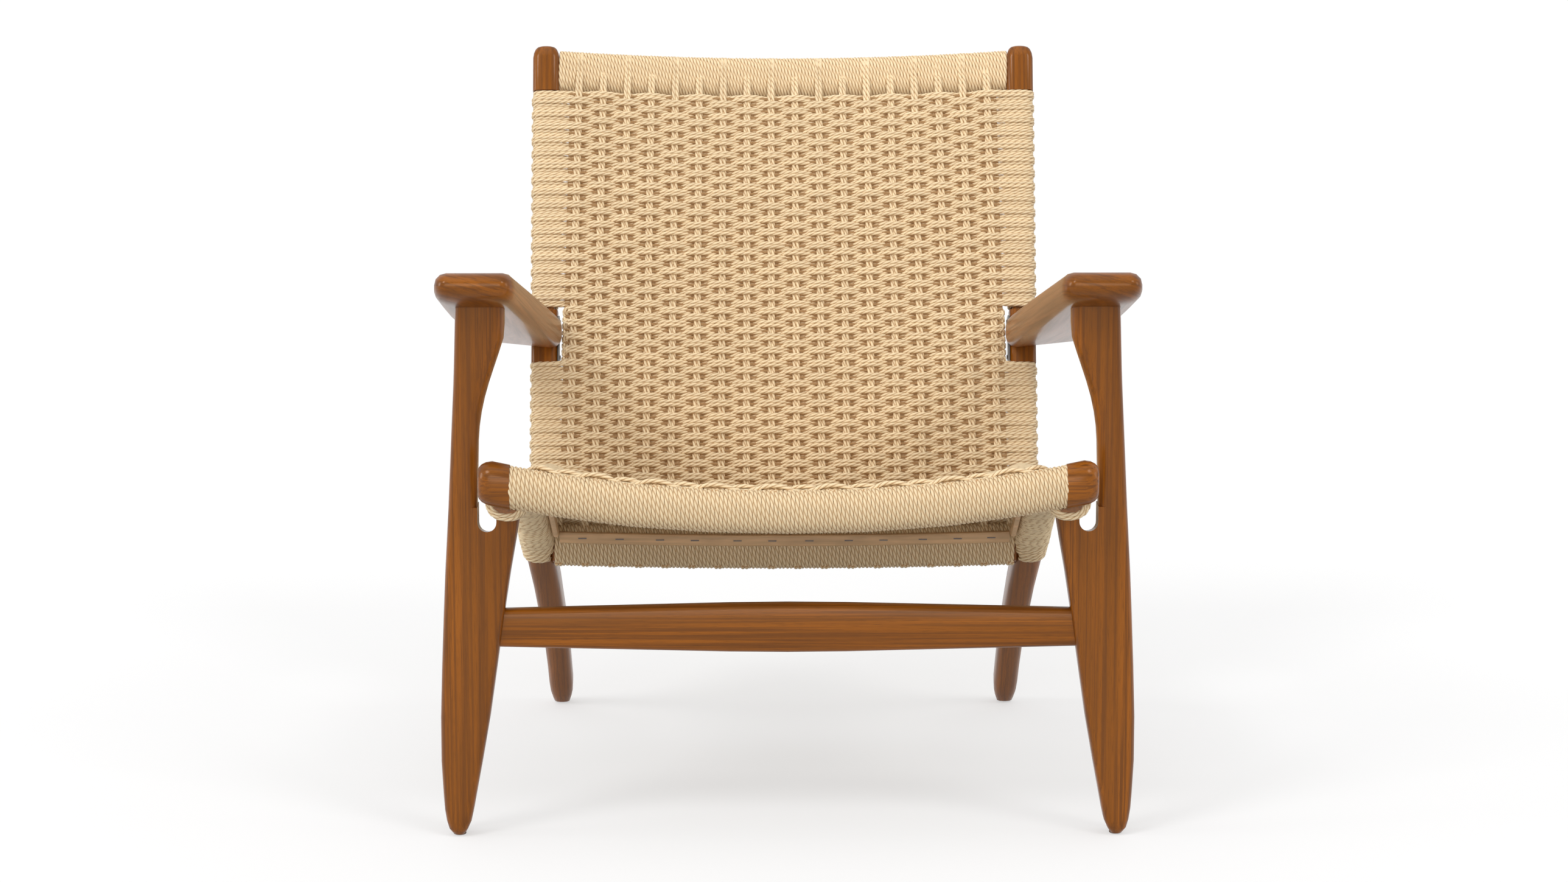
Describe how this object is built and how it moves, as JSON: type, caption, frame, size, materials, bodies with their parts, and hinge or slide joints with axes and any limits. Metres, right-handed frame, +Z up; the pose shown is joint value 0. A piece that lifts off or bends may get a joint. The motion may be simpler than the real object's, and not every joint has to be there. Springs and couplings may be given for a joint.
{
  "type": "lounge armchair",
  "caption": "Low wooden lounge armchair with bent rear legs, paddle armrests and a seat and back of woven paper cord.",
  "frame": {"origin": "centre of the overall box at floor level", "axes": "+Z up, the chair faces -Y, +X is the sitter's left hand side seen from the front as the right"},
  "size_m": [0.702, 0.76, 0.7464],
  "materials": {
    "stained_wood": "walnut stain under satin lacquer",
    "paper_cord": "twisted unbleached paper cord",
    "rattan": "bare light cane",
    "bright_steel": "plain zinc plated",
    "dark_staple": "dark wire",
    "glide_pad": "brown nylon"
  },
  "bodies": {
    "root": {"front_leg_left": "stained_wood", "front_leg_right": "stained_wood", "side_frame_left": "stained_wood", "side_frame_right": "stained_wood", "armrest_left": "stained_wood", "armrest_right": "stained_wood", "back_stile_left": "stained_wood", "back_stile_right": "stained_wood", "front_stretcher": "stained_wood", "seat_front_rail": "stained_wood", "seat_rear_rail": "stained_wood", "back_top_rail": "stained_wood", "back_bottom_rail": "stained_wood", "seat_rod_rear": "rattan", "seat_rod_left": "rattan", "seat_rod_right": "rattan", "arm_plate_left": "bright_steel", "arm_plate_right": "bright_steel", "arm_screws": "bright_steel", "rod_staples": "dark_staple", "glide_front_left": "glide_pad", "glide_front_right": "glide_pad", "glide_rear_left": "glide_pad", "glide_rear_right": "glide_pad", "front_rail_wrap": "paper_cord", "rear_rail_wrap": "paper_cord", "top_rail_wrap": "paper_cord", "bottom_rail_wrap": "paper_cord", "side_wrap_front_left": "paper_cord", "side_wrap_front_right": "paper_cord", "side_wrap_rear_left": "paper_cord", "side_wrap_rear_right": "paper_cord", "stile_wrap_upper_left": "paper_cord", "stile_wrap_upper_right": "paper_cord", "stile_wrap_lower_left": "paper_cord", "stile_wrap_lower_right": "paper_cord", "seat_weave": "paper_cord", "back_weave": "paper_cord"}
  },
  "joints": []
}
